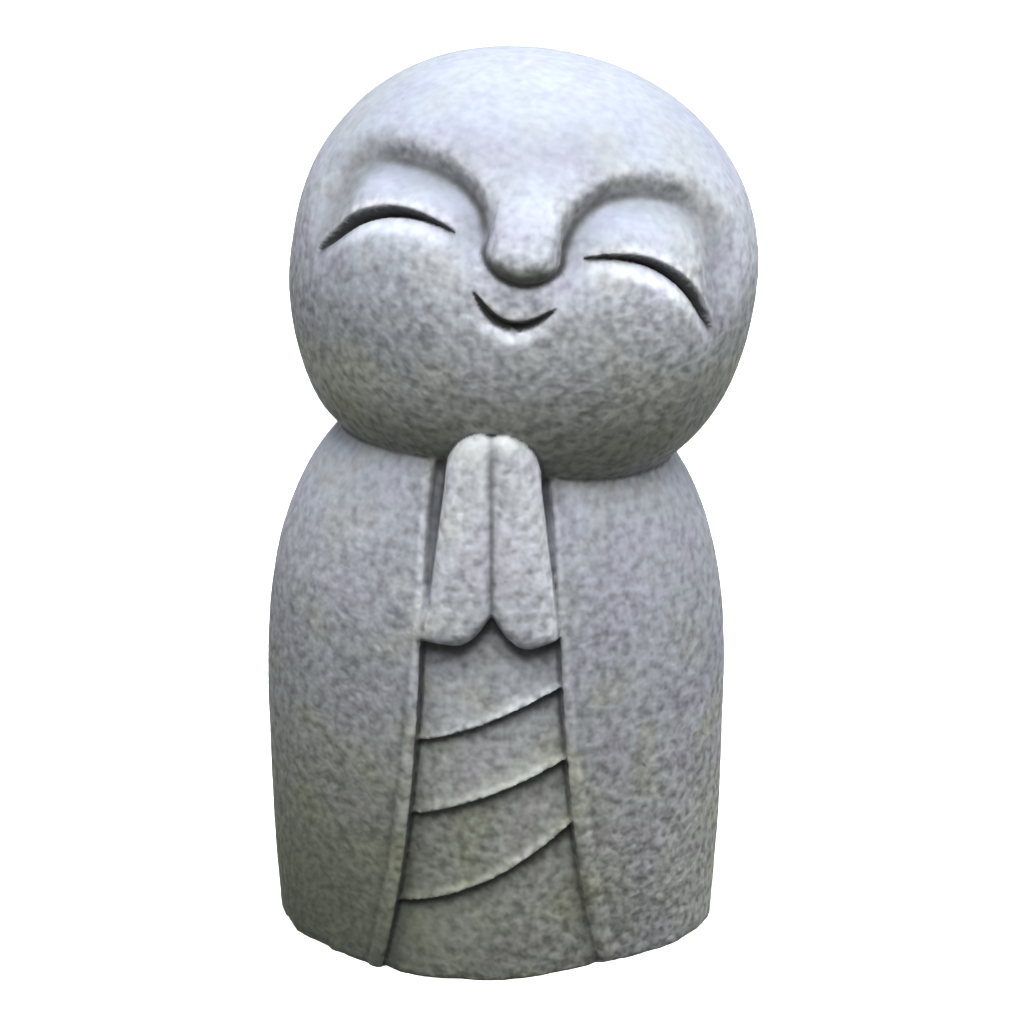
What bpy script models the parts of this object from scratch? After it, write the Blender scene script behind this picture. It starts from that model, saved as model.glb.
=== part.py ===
"""A small stone jizo, carved from one block: a round, tilted head with closed, smiling eyes,
on a barrel-shaped robe, with the hands pressed together in front of it.

Metres, +Z up. The origin is the middle of the flat base, and the robe faces -Y.
"""

from math import cos, hypot, pi, radians, sin

import bmesh
import bpy
import numpy as np
from mathutils import Matrix, Vector

# Robe: a barrel, round at the back, that comes to a soft ridge down the front; flat below
ROBE_HALF_WIDTH = 0.0772
ROBE_FRONT_SHARE = 0.752  # front depth over half width
ROBE_BACK_SHARE = 0.780
ROBE_WIDEST = 0.080
BASE_TAPER = 0.0030
SHOULDER_RISE, SHOULDER_POWER = 0.113, 2.6  # how the sides close in above the widest ring
CHEST_RISE, CHEST_POWER = 0.128, 3.0  # how the front and the back close in above it
RIDGE_POWER, RIDGE_SOFTNESS = 1.4, 0.09
ROBE_TOP = 0.180
BASE_ARRIS = 0.0016
ARRIS_STEPS = 3
ROBE_SIDES = 76
ROBE_STEPS_LOW, ROBE_STEPS_HIGH = 4, 9  # rings below and above the widest one

# Head: an ellipsoid with a longer, fuller lower half, rolled and slightly turned
HEAD_CENTRE = Vector((0.0092, 0.0, 0.2287))
HEAD_HALF_WIDTH = 0.0755
HEAD_HALF_DEPTH = 0.0668
HEAD_RISE, CROWN_POWER = 0.0698, 2.16
HEAD_DROP, JOWL_POWER = 0.0715, 2.4
HEAD_ROLL = radians(10.5)
HEAD_TURN = radians(-4.5)
HEAD_SIDES = 64
HEAD_RINGS = 40
SIDE_CROWD = 0.55  # how strongly the sides of the mesh crowd towards the face
RING_CROWD, RING_CROWD_AT = 0.20, 0.40  # and its rings, at this share of the way down

# Face, by longitude from the middle of the face and by height from the head's centre
BROW_LON, BROW_Z = radians(34), 0.020
BROW_LON_REACH = radians(23.5)
BROW_Z_REACH_LEFT, BROW_Z_REACH_RIGHT = 0.0168, 0.0208
BROW_DEPTH = 0.0036
BROW_WALL, BROW_LID = 0.15, 0.36  # width of the crease's outer wall and of the slope to the lid
BROW_FADE_LOW, BROW_FADE_HIGH = -0.35, 0.25  # the crease runs out below its middle
BROW_OUTER_SHARE = 0.45  # depth that is left at the outer end
EYE_LON, EYE_Z = radians(26), 0.0220
EYE_FROM, EYE_TO = radians(16), radians(55)
EYE_REACH, EYE_DROP, EYE_POWER = radians(28.6), 0.0194, 2.15
EYE_SLIT = 0.0034
MIDDLE_LON = radians(1.3)  # nose and mouth, slightly off the middle between the eyes
NOSE_Z, NOSE_HALF_WIDTH, NOSE_HALF_HEIGHT = 0.0175, 0.0128, 0.0088
NOSE_ROOT_Z = 0.0460
NOSE_PROUD = 0.0070
MOUTH_Z, MOUTH_RISE, MOUTH_REACH = -0.0044, 0.0084, radians(9.2)
MOUTH_SLIT = 0.0028
SLIT_DEPTH = 0.0030
SLIT_CLEAR = 0.0040  # how far a slit's cutter stands out of the face
SLIT_MOUTH, SLIT_FLOOR = 1.6, 0.5  # width outside the face and at the bottom, over its own
SLIT_END_WIDTH, SLIT_END_DEPTH = 0.18, 0.35  # shares that are left at the ends

# Opening of the robe, from the chin to the base, and the folds of cloth inside it
OPENING_X = -0.0018
OPENING_TOP = 0.1755
OPENING_HALF_TOP, OPENING_SPREAD = 0.0170, 0.0085
OPENING_FLARE, FLARE_POWER = 0.0107, 3.7
FOLD_RECESS = 0.0052  # below a lip, behind the robe's surface
LIP_RECESS = 0.0016
SKIRT_RECESS = 0.0006  # at the base, where the cloth comes back out
EDGE_GROOVE, GROOVE_SHARE = 0.0024, 0.09  # extra depth along both edges, over this share
LIP_THICKNESS = 0.0012
CUT_CLEAR = 0.004
CUT_FRONT = -0.090
PANEL_FLAT_TO = 0.138  # plain cloth from the top down to here, behind the hands
HANDS_END = (0.115, 0.118)  # where the cloth comes out from under the hands, left and right
SKIRT_FROM = (0.012, 0.022, 1.2)
FOLDS = (  # height of a fold's lip at its left end, at its right end, and how it curves up
    (0.0827, 0.1026, 1.1),
    (0.0565, 0.0774, 1.1),
    (0.0248, 0.0549, 1.4),
)

# Hands: two long mitts, palm to palm, with their tips over the chin
HANDS_X = -0.0014
HAND_BOTTOM, HAND_TOP = 0.1176, 0.1898
NOTCH_TOP, NOTCH_HALF_WIDTH = 0.1297, 0.0150  # between the lower ends of the two hands
TIP_START = 0.1700  # where the fingertips begin to round off
HAND_WIDTH_LOW, HAND_WIDTH_HIGH = 0.0215, 0.0150
PALM_GAP = 0.0004
HAND_BACK = -0.0420
HAND_FRONT_LOW, HAND_FRONT_HIGH = -0.0626, -0.0626
HAND_EDGE_POWER = 3.2
HAND_SIDES = 18
FINGER_POWER = 2.4
NOTCH_POWER = 0.7
HEEL_SHARE, HEEL_ROUND = 0.15, 0.4  # lower part of the notch over which the heel narrows
END_POWER = 30  # how suddenly the front falls back at both ends
HAND_END_CLEAR = 0.0002

STONE_COLOUR = (0.36, 0.37, 0.37, 1.0)
STONE_ROUGHNESS = 0.9


def blend(low, high, share):
    return low + (high - low) * share


def smooth_step(value, start, end):
    t = np.clip((value - start) / (end - start), 0.0, 1.0)
    return t * t * (3 - 2 * t)


def add_object(bm, name):
    """One mesh object from a bmesh, with its faces turned outwards."""
    bmesh.ops.recalc_face_normals(bm, faces=bm.faces)
    mesh = bpy.data.meshes.new(name)
    bm.to_mesh(mesh)
    bm.free()
    obj = bpy.data.objects.new(name, mesh)
    bpy.context.scene.collection.objects.link(obj)
    return obj


def loft(name, rings):
    """A closed solid through rings of points, with its first and last ring fanned shut."""
    bm = bmesh.new()
    rows = [[bm.verts.new(point) for point in ring] for ring in rings]
    for row in rows:
        for i, vert in enumerate(row):
            bm.edges.new((vert, row[(i + 1) % len(row)]))
    for lower, upper in zip(rows, rows[1:]):
        edges = [e for row in (lower, upper) for e in ring_edges(row)]
        bmesh.ops.bridge_loops(bm, edges=edges)
    for row in (rows[0], rows[-1]):
        cap = bmesh.ops.edgeloop_fill(bm, edges=ring_edges(row))
        bmesh.ops.poke(bm, faces=cap["faces"])
    return add_object(bm, name)


def ring_edges(row):
    """The edges that run round a ring of vertices."""
    members = set(row)
    return list({e for v in row for e in v.link_edges if e.other_vert(v) in members})


# Robe


def robe_half_width(z):
    if z < ROBE_WIDEST:
        return ROBE_HALF_WIDTH - BASE_TAPER * ((ROBE_WIDEST - z) / ROBE_WIDEST) ** 2
    closing = ((z - ROBE_WIDEST) / SHOULDER_RISE) ** SHOULDER_POWER
    return ROBE_HALF_WIDTH * (1 - closing) ** (1 / SHOULDER_POWER)


def robe_depth(z):
    """Depth at a height, as a share of the depth of the widest ring."""
    if z < ROBE_WIDEST:
        return robe_half_width(z) / ROBE_HALF_WIDTH
    closing = ((z - ROBE_WIDEST) / CHEST_RISE) ** CHEST_POWER
    return (1 - closing) ** (1 / CHEST_POWER)


def ridge_profile(share):
    """How far forward the front stands, from 1 at its middle to 0 at the sides."""
    def bend(value):
        return (value**2 + RIDGE_SOFTNESS**2) ** (RIDGE_POWER / 2) - RIDGE_SOFTNESS**RIDGE_POWER
    return max(0.0, 1 - bend(share) / bend(1)) ** 0.5


def robe_front(x, z):
    """Y of the robe's front surface."""
    depth = ROBE_HALF_WIDTH * ROBE_FRONT_SHARE * robe_depth(z)
    return -depth * ridge_profile(min(1.0, abs(x) / robe_half_width(z)))


def build_robe():
    turns = [pi / 2 * i / ARRIS_STEPS for i in range(ARRIS_STEPS)]
    levels = [(BASE_ARRIS * (1 - cos(turn)), BASE_ARRIS * (1 - sin(turn))) for turn in turns]
    for i in range(ROBE_STEPS_LOW):
        levels.append((blend(BASE_ARRIS, ROBE_WIDEST, i / (ROBE_STEPS_LOW - 1)), 0))
    for i in range(1, ROBE_STEPS_HIGH + 1):
        share = i / ROBE_STEPS_HIGH
        levels.append((blend(ROBE_WIDEST, ROBE_TOP, share * (3 - share) / 2), 0))
    rings = []
    for z, inset in levels:
        shrink = 1 - inset / ROBE_HALF_WIDTH
        ring = []
        for j in range(ROBE_SIDES):
            turn = 2 * pi * j / ROBE_SIDES
            x = robe_half_width(z) * cos(turn)
            y = ROBE_HALF_WIDTH * ROBE_BACK_SHARE * robe_depth(z) * sin(turn)
            if turn > pi:
                y = robe_front(x, z)
            ring.append((x * shrink, y * shrink, z))
        rings.append(ring)
    return loft("statue", rings)


# Head


def head_matrix():
    roll = Matrix.Rotation(HEAD_ROLL, 4, "Y")
    turn = Matrix.Rotation(HEAD_TURN, 4, "Z")
    return Matrix.Translation(HEAD_CENTRE) @ roll @ turn


def head_girth(z):
    """Share of the head's full width that is left at a height above or below its centre."""
    if z > 0:
        return max(0.0, 1 - (z / HEAD_RISE) ** CROWN_POWER) ** (1 / CROWN_POWER)
    return max(0.0, 1 - (-z / HEAD_DROP) ** JOWL_POWER) ** (1 / JOWL_POWER)


def plain_head(lon, z):
    """A point of the head before its face is carved; longitude 0 is the middle of the face."""
    girth = head_girth(z)
    return Vector((HEAD_HALF_WIDTH * girth * sin(lon), -HEAD_HALF_DEPTH * girth * cos(lon), z))


def head_normal(point):
    rise = HEAD_RISE if point.z > 0 else HEAD_DROP
    slope = (point.x / HEAD_HALF_WIDTH**2, point.y / HEAD_HALF_DEPTH**2, point.z / rise**2)
    return Vector(slope).normalized()


def brow_relief(lon, z):
    """The crease under each brow, an arch that runs out beside the eye, and the lid in it."""
    across = (abs(lon) - BROW_LON) / BROW_LON_REACH
    up = (z - BROW_Z) / (BROW_Z_REACH_LEFT if lon < 0 else BROW_Z_REACH_RIGHT)
    reach = hypot(across, up)
    width = BROW_WALL if reach > 1 else BROW_LID
    crease = np.exp(-(((reach - 1) / width) ** 2))
    fade = smooth_step(up, BROW_FADE_LOW, BROW_FADE_HIGH)
    fade *= blend(1, BROW_OUTER_SHARE, smooth_step(across, 0.4, 1.0))
    return -BROW_DEPTH * crease * fade


def nose_relief(lon, z):
    """A tongue that slopes out of the forehead and ends in a rounded tip."""
    x = HEAD_HALF_WIDTH * sin(lon - MIDDLE_LON)
    across = 1 - (x / NOSE_HALF_WIDTH) ** 2
    if z < NOSE_Z:
        return NOSE_PROUD * max(0.0, across - ((NOSE_Z - z) / NOSE_HALF_HEIGHT) ** 2) ** 0.5
    rise = smooth_step(z, NOSE_ROOT_Z, NOSE_Z)
    return NOSE_PROUD * rise * max(0.0, across) ** blend(1.5, 0.5, rise)


def face_point(lon, z):
    """A point on the carved face, and the direction straight out of it."""
    point = plain_head(lon, z)
    normal = head_normal(point)
    return point + normal * (brow_relief(lon, z) + nose_relief(lon, z)), normal


def build_head():
    """A sphere whose rings and sides crowd together at the face, shaped to the head."""
    bm = bmesh.new()
    bmesh.ops.create_uvsphere(bm, u_segments=HEAD_SIDES, v_segments=HEAD_RINGS, radius=1)
    for vert in bm.verts:
        share = np.arccos(np.clip(vert.co.z, -1, 1)) / pi
        polar = pi * share - RING_CROWD * (
            sin(2 * pi * (share - RING_CROWD_AT)) + sin(2 * pi * RING_CROWD_AT)
        )
        around = np.arctan2(vert.co.x, -vert.co.y)
        lon = around - SIDE_CROWD * sin(around)
        if cos(polar) > 0:
            z = HEAD_RISE * cos(polar) ** (2 / CROWN_POWER)
        else:
            z = -HEAD_DROP * (-cos(polar)) ** (2 / JOWL_POWER)
        point = plain_head(lon, z)
        if abs(lon) < pi / 2:
            point = face_point(lon, z)[0]
        vert.co = point
    head = add_object(bm, "head_form")
    head.matrix_world = head_matrix()
    return head


def eye_z(lon):
    return EYE_Z - EYE_DROP * abs((lon - EYE_LON) / EYE_REACH) ** EYE_POWER


def mouth_z(lon):
    return MOUTH_Z + MOUTH_RISE * ((lon - MIDDLE_LON) / MOUTH_REACH) ** 2


def build_slit(name, centres, width):
    """A crescent wedge along a line on the face, widest in the middle, to be cut away."""
    rings = []
    for i, (lon, z) in enumerate(centres):
        share = i / (len(centres) - 1)
        half = width / 2 * blend(SLIT_END_WIDTH, 1, sin(pi * share) ** 0.7)
        depth = SLIT_DEPTH * blend(SLIT_END_DEPTH, 1, sin(pi * share) ** 0.5)
        point, normal = face_point(lon, z)
        before = face_point(*centres[max(i - 1, 0)])[0]
        after = face_point(*centres[min(i + 1, len(centres) - 1)])[0]
        up = normal.cross(after - before).normalized()
        up = up if up.z > 0 else -up
        outer = point + normal * SLIT_CLEAR
        inner = point - normal * depth
        wide, narrow = up * half * SLIT_MOUTH, up * half * SLIT_FLOOR
        rings.append([outer + wide, outer - wide, inner - narrow, inner + narrow])
    slit = loft(name, rings)
    slit.matrix_world = head_matrix()
    return slit


# Opening of the robe


def opening_half(z):
    t = max(0.0, 1 - z / OPENING_TOP)
    return OPENING_HALF_TOP + OPENING_SPREAD * t**0.5 + OPENING_FLARE * t**FLARE_POWER


def panel_rows():
    """Heights at the left and right end, curve and recess of each row of the cloth, downwards.

    A fold slopes out to its lip and steps back under it, like a shingle."""
    rows = [(z, z, 1, FOLD_RECESS) for z in (OPENING_TOP, PANEL_FLAT_TO)]
    above = HANDS_END
    for left, right, power in FOLDS:
        middle = (above[0] + left) / 2, (above[1] + right) / 2
        rows.append((*middle, power, blend(LIP_RECESS, FOLD_RECESS, 0.6)))
        rows.append((left, right, power, LIP_RECESS))
        rows.append((left - LIP_THICKNESS, right - LIP_THICKNESS, power, FOLD_RECESS))
        above = left, right
    rows.append((*SKIRT_FROM, blend(SKIRT_RECESS, FOLD_RECESS, 0.4)))
    rows.append((-CUT_CLEAR, -CUT_CLEAR, 1, SKIRT_RECESS))
    return rows


def build_opening():
    """What is cut out of the robe's front: a sheet laid on the folds, pulled forward."""
    edge = [0, GROOVE_SHARE / 3, GROOVE_SHARE]
    middle = [blend(GROOVE_SHARE, 1 - GROOVE_SHARE, i / 8) for i in range(1, 8)]
    shares = edge + middle + [1 - share for share in reversed(edge)]
    bm = bmesh.new()
    grid = []
    for left, right, power, recess in panel_rows():
        row = []
        for u in shares:
            z = blend(left, right, u**power)
            x = OPENING_X + opening_half(z) * (2 * u - 1)
            groove = EDGE_GROOVE * smooth_step(min(u, 1 - u), GROOVE_SHARE, 0.2 * GROOVE_SHARE)
            row.append(bm.verts.new((x, robe_front(x, max(z, 0)) + recess + groove, z)))
        grid.append(row)
    for upper, lower in zip(grid, grid[1:]):
        for i in range(len(shares) - 1):
            bm.faces.new((upper[i], upper[i + 1], lower[i + 1], lower[i]))
    front = bmesh.ops.extrude_face_region(bm, geom=list(bm.faces))
    for item in front["geom"]:
        if isinstance(item, bmesh.types.BMVert):
            item.co.y = CUT_FRONT
    return add_object(bm, "opening_cut")


# Hands


def hand_sides(z):
    """Distance of a hand's inner and outer edge from the groove between the hands."""
    outer = blend(HAND_WIDTH_HIGH, HAND_WIDTH_LOW, (TIP_START - z) / (TIP_START - HAND_BOTTOM))
    if z > TIP_START:
        share = (z - TIP_START) / (HAND_TOP - TIP_START)
        outer = HAND_WIDTH_HIGH * (1 - share**FINGER_POWER) ** (1 / FINGER_POWER)
    inner = PALM_GAP
    if z < NOTCH_TOP:
        rest = (z - HAND_BOTTOM) / (NOTCH_TOP - HAND_BOTTOM)
        inner += NOTCH_HALF_WIDTH * (1 - rest**NOTCH_POWER)
        outer -= (outer - inner) * HEEL_ROUND * max(0.0, 1 - rest / HEEL_SHARE) ** 3
    return inner, outer


def build_hand(side):
    rings = []
    first, last = HAND_BOTTOM + HAND_END_CLEAR, HAND_TOP - HAND_END_CLEAR
    levels = [blend(first, NOTCH_TOP, (i / 5) ** 1.6) for i in range(6)]
    levels += [blend(NOTCH_TOP, TIP_START, i / 6) for i in range(1, 6)]
    levels += [blend(TIP_START, last, sin(pi / 2 * i / 7)) for i in range(8)]
    for z in levels:
        inner, outer = hand_sides(z)
        share = (z - HAND_BOTTOM) / (HAND_TOP - HAND_BOTTOM)
        end = max(0.0, 1 - abs(2 * share - 1) ** END_POWER) ** (1 / 3)
        front = blend(HAND_FRONT_LOW, HAND_FRONT_HIGH, share) - HAND_BACK
        ring = []
        for j in range(HAND_SIDES):
            turn = 2 * pi * j / HAND_SIDES
            across = abs(cos(turn)) ** (2 / HAND_EDGE_POWER) * (1 if cos(turn) > 0 else -1)
            away = (inner + outer) / 2 + (outer - inner) / 2 * across
            if turn > pi:
                fall = robe_front(0, z) - robe_front(away, z)
                y = HAND_BACK + (front + fall) * end * abs(sin(turn)) ** (2 / HAND_EDGE_POWER)
            else:
                y = HAND_BACK + CUT_CLEAR * sin(turn)
            ring.append((HANDS_X + side * away, y, z))
        rings.append(ring)
    return loft("hand_left" if side < 0 else "hand_right", rings)


def combine(target, other, operation):
    """A live Boolean; the other shape stays as a guide that isn't part of the model."""
    modifier = target.modifiers.new(other.name, "BOOLEAN")
    modifier.operation = operation
    modifier.object = other
    modifier.solver = "EXACT"
    other.hide_render = True
    other.display_type = "WIRE"


def stone_material():
    material = bpy.data.materials.new("stone")
    material.use_nodes = True
    shader = material.node_tree.nodes["Principled BSDF"]
    shader.inputs["Base Color"].default_value = STONE_COLOUR
    shader.inputs["Roughness"].default_value = STONE_ROUGHNESS
    shader.inputs["Metallic"].default_value = 0.0
    return material


def main():
    for obj in list(bpy.data.objects):
        bpy.data.objects.remove(obj)

    statue = build_robe()
    combine(statue, build_opening(), "DIFFERENCE")
    for side in (-1, 1):
        combine(statue, build_hand(side), "UNION")
    combine(statue, build_head(), "UNION")
    for side, name in ((-1, "eye_left"), (1, "eye_right")):
        lons = [blend(EYE_FROM, EYE_TO, i / 14) for i in range(15)]
        line = [(side * lon, eye_z(lon)) for lon in lons]
        combine(statue, build_slit(name, line, EYE_SLIT), "DIFFERENCE")
    lons = [MIDDLE_LON + blend(-MOUTH_REACH, MOUTH_REACH, i / 10) for i in range(11)]
    line = [(lon, mouth_z(lon)) for lon in lons]
    combine(statue, build_slit("mouth", line, MOUTH_SLIT), "DIFFERENCE")

    statue.data.materials.append(stone_material())
    statue.data.shade_smooth()
    statue.data.set_sharp_from_angle(angle=radians(40))


main()
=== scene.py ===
from math import cos, pi, radians, sin

import bpy
import numpy as np
from mathutils import Matrix, Vector


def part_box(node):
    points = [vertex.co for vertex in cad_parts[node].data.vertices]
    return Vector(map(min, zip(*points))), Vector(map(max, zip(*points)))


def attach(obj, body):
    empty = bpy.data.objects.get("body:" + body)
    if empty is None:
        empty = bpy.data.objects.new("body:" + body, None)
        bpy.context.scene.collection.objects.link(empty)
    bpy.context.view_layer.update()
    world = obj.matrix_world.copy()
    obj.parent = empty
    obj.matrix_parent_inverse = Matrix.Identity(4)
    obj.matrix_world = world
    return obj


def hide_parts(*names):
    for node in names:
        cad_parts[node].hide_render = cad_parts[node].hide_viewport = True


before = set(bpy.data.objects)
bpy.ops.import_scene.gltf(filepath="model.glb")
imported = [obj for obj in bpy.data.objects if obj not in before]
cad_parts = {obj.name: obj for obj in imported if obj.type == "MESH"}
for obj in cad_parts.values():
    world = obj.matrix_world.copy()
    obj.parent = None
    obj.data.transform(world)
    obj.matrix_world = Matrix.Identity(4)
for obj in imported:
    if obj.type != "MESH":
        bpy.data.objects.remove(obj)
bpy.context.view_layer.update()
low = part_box("statue")[0]

# how fine the stone is worked
carving = {
    "voxel": 0.00065,
    "softenSteps": 3,
    "cutSteps": 2,  # more softening in the cuts of the face, from and to this share of painted shade
    "inCut": (0.35, 0.60),
    "triangles": (124000, 48000),  # at the front, at the back
    "frontTo": 0.008,
    "flat": 0.0006,  # all that lies this low is the flat underside
    "swell": 0.0007,
    "swellSize": 0.022,
    "grain": 0.00026,
    "grainSize": 0.0021,
}


# small helpers

def pick(obj):
    bpy.ops.object.select_all(action="DESELECT")
    obj.select_set(True)
    bpy.context.view_layer.objects.active = obj


def readPoints(obj):
    points = np.empty(len(obj.data.vertices) * 3)
    obj.data.vertices.foreach_get("co", points)
    return points.reshape(-1, 3)


def writePoints(obj, points):
    obj.data.vertices.foreach_set("co", np.ascontiguousarray(points).ravel())
    obj.data.update()


def readNormals(obj):
    normals = np.empty(len(obj.data.vertices) * 3)
    obj.data.vertex_normals.foreach_get("vector", normals)
    return normals.reshape(-1, 3)


def applyModifier(obj, kind, **settings):
    pick(obj)
    modifier = obj.modifiers.new(kind.lower(), kind)
    for name, value in settings.items():
        setattr(modifier, name, value)
    bpy.ops.object.modifier_apply(modifier=modifier.name)


def remesh(obj):
    applyModifier(obj, "REMESH", mode="VOXEL", voxel_size=carving["voxel"])


def ease(value, start, end):
    t = np.clip((value - start) / (end - start), 0, 1)
    return t * t * (3 - 2 * t)


def hump(value, centre, width):
    return np.exp(-(((value - centre) / width) ** 2))


def mix(a, b, share):
    return a + (b - a) * share


# robe

robe = {
    "halfWidth": 0.0772,
    "frontShare": 0.752,
    "backShare": 0.780,
    "widest": 0.080,
    "baseTaper": 0.0026,
    "shoulderRise": 0.113,
    "shoulderPower": 2.6,
    "chestRise": 0.128,
    "chestPower": 3.35,
    "collar": (0.0018, -0.024, 0.014, 0.178, 0.014),  # fuller by, across and its width, height and its reach
    "ridgePower": 1.4,
    "ridgeSoftness": 0.09,
    "top": 0.180,
}

opening = {
    "x": -0.0018,
    "top": 0.1755,
    "cutTo": 0.1792,  # the cut goes on up to here, under the chin
    "halfTop": 0.0170,
    "spread": 0.0085,
    "flare": 0.0107,
    "flarePower": 3.7,
    "roll": 0.0030,  # worn rounding of both edges
    "rollDepth": 0.8,
    # a rolled border beside the left and the right edge: height, and its width above and at the base
    "hem": ((0.0009, 0.0030, 0.0050), (0.0006, 0.0024, 0.0066)),
    "hemFrom": (0.135, 0.020),  # it grows downwards
    "hemEdge": (0.0006, -0.0010),  # it falls away from here to here beside its width
    "besideHem": (0.5, 0.0010),  # low line beside it: share of its height, and width
    "fade": (0.007, 0.002),
    "behindHands": (0.0026, 0.0032),
    "hiddenFrom": (0.129, 0.134),  # the cloth runs up to here behind the hands
    "leftGrooveEnds": (0.138, 0.131),
    "heelFrom": (0.1190, 0.1215),  # above this the left heel fills the edge
    "mergedShare": 0.85,
    "lipRecess": (0.0014, 0.0008),  # left, right
    "step": (0.0034, 0.0050),  # how far a lip stands over the cloth below it
    "bead": (0.0012, 0.0021, 0.0019),  # rolled lip: height at left and right, width
    "skirtRecess": 0.0006,
    "groove": (0.0019, 0.0005),  # extra depth along the left and right edge
    "grooveWidth": (0.0025, 0.0020),
    "grooveAbove": 0.25,  # share of it that goes on behind the hands, which start here
    "grooveFrom": (0.124, 0.116),
    "edgeWidth": (0.0003, -0.0009),
}

# lip of each fold: height at its left and right end, and how it curves up
folds = [(0.0827, 0.1026, 1.1), (0.0565, 0.0774, 1.1), (0.0248, 0.0549, 1.4)]

base = {
    "fuller": (0.0030, -0.029, 0.017),  # depth, where, width
    "flatter": (0.0024, 0.034, 0.019),
    "up": 0.040,
    "chips": 34,
    "chipSize": (0.0010, 0.0030),
    "chipDepth": 0.26,  # share of its size
    "seed": 4,
}


def robeHalf(z):
    r = robe
    lower = r["halfWidth"] - r["baseTaper"] * ((r["widest"] - z) / r["widest"]) ** 2
    closing = np.clip((z - r["widest"]) / r["shoulderRise"], 0, 1) ** r["shoulderPower"]
    upper = r["halfWidth"] * (1 - closing) ** (1 / r["shoulderPower"])
    return np.where(z < r["widest"], lower, upper)


def robeDepth(z):
    closing = np.clip((z - robe["widest"]) / robe["chestRise"], 0, 1) ** robe["chestPower"]
    upper = (1 - closing) ** (1 / robe["chestPower"])
    return np.where(z < robe["widest"], robeHalf(z) / robe["halfWidth"], upper)


def ridgeProfile(share):
    soft, power = robe["ridgeSoftness"], robe["ridgePower"]
    bend = (share**2 + soft**2) ** (power / 2) - soft**power
    full = (1 + soft**2) ** (power / 2) - soft**power
    return np.clip(1 - bend / full, 0, 1) ** 0.5


def robeFront(x, z, collar=1):
    depth = robe["halfWidth"] * robe["frontShare"] * robeDepth(z)
    fuller, middle, width, height, tall = robe["collar"]
    bulge = collar * fuller * hump(x, middle, width) * hump(z, height, tall)
    return -depth * ridgeProfile(np.minimum(1, np.abs(x) / np.maximum(robeHalf(z), 0.001))) - bulge


def openingHalf(z):
    t = np.clip(1 - z / opening["top"], 0, 1)
    return opening["halfTop"] + opening["spread"] * t**0.5 + opening["flare"] * t ** opening["flarePower"]


def hemShape(side, z):
    # height and width of the border on each side
    low = ease(z, *opening["hemFrom"])
    left, right = opening["hem"]
    isLeft = side < 0
    width = mix(np.where(isLeft, left[1], right[1]), np.where(isLeft, left[2], right[2]), low)
    return np.where(isLeft, left[0], right[0]) * mix(0.5, 1, low), width


def clothRecess(u, z):
    # depth of the cloth behind the robe's front; u runs from the left edge to the right one
    lip = mix(*opening["lipRecess"], u)
    deep = lip + mix(*opening["step"], u)
    beadLeft, beadRight, beadWidth = opening["bead"]
    bead = mix(beadLeft, beadRight, u)
    merged = ease(z, *opening["leftGrooveEnds"]) * ease(u, 0.35, 0.2)
    recess = mix(*opening["behindHands"], u) * (1 - merged)
    above = np.full_like(z, opening["hiddenFrom"][1])
    for left, right, curve in folds:
        edge = mix(left, right, np.clip(u, 0, 1) ** curve)
        rise = np.clip((z - edge) / (above - edge), 0, 1)
        # the panel leans out towards its lip, and the lip is rolled
        panel = mix(lip + bead, deep, rise**0.6) - bead * hump(z, edge, beadWidth)
        panel = mix(panel, recess, ease(z, *opening["hiddenFrom"]))
        recess = np.where((z >= edge) & (z < above), panel, recess)
        above = edge
    skirt = mix(opening["skirtRecess"], deep, np.clip(z / above, 0, 1) ** 1.6)
    return np.where(z < above, skirt, recess)


def makeRobe():
    top = robe["top"]
    bpy.ops.mesh.primitive_cylinder_add(vertices=144, radius=1, depth=top, location=(0, 0, low.z + top / 2))
    obj = bpy.context.object
    obj.name = "robe"
    bpy.ops.object.transform_apply(location=True, rotation=False, scale=False)

    # rings up the side
    bpy.ops.object.mode_set(mode="EDIT")
    bpy.ops.mesh.select_all(action="DESELECT")
    bpy.ops.object.mode_set(mode="OBJECT")
    for edge in obj.data.edges:
        a, b = (obj.data.vertices[i].co for i in edge.vertices)
        edge.select = abs(a.z - b.z) > top / 2
    bpy.ops.object.mode_set(mode="EDIT")
    bpy.ops.mesh.select_mode(type="EDGE")
    bpy.ops.mesh.subdivide(number_cuts=44)
    bpy.ops.object.mode_set(mode="OBJECT")

    points = readPoints(obj)
    turn = np.arctan2(points[:, 1], points[:, 0])
    z = points[:, 2]
    x = robeHalf(z) * np.cos(turn)
    back = robe["halfWidth"] * robe["backShare"] * robeDepth(z) * np.sin(turn)
    y = np.where(turn < 0, robeFront(x, z), back)
    writePoints(obj, np.stack([x, y, z], 1))
    remesh(obj)
    carveOpening(obj)
    wearBase(obj)
    return obj


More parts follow.
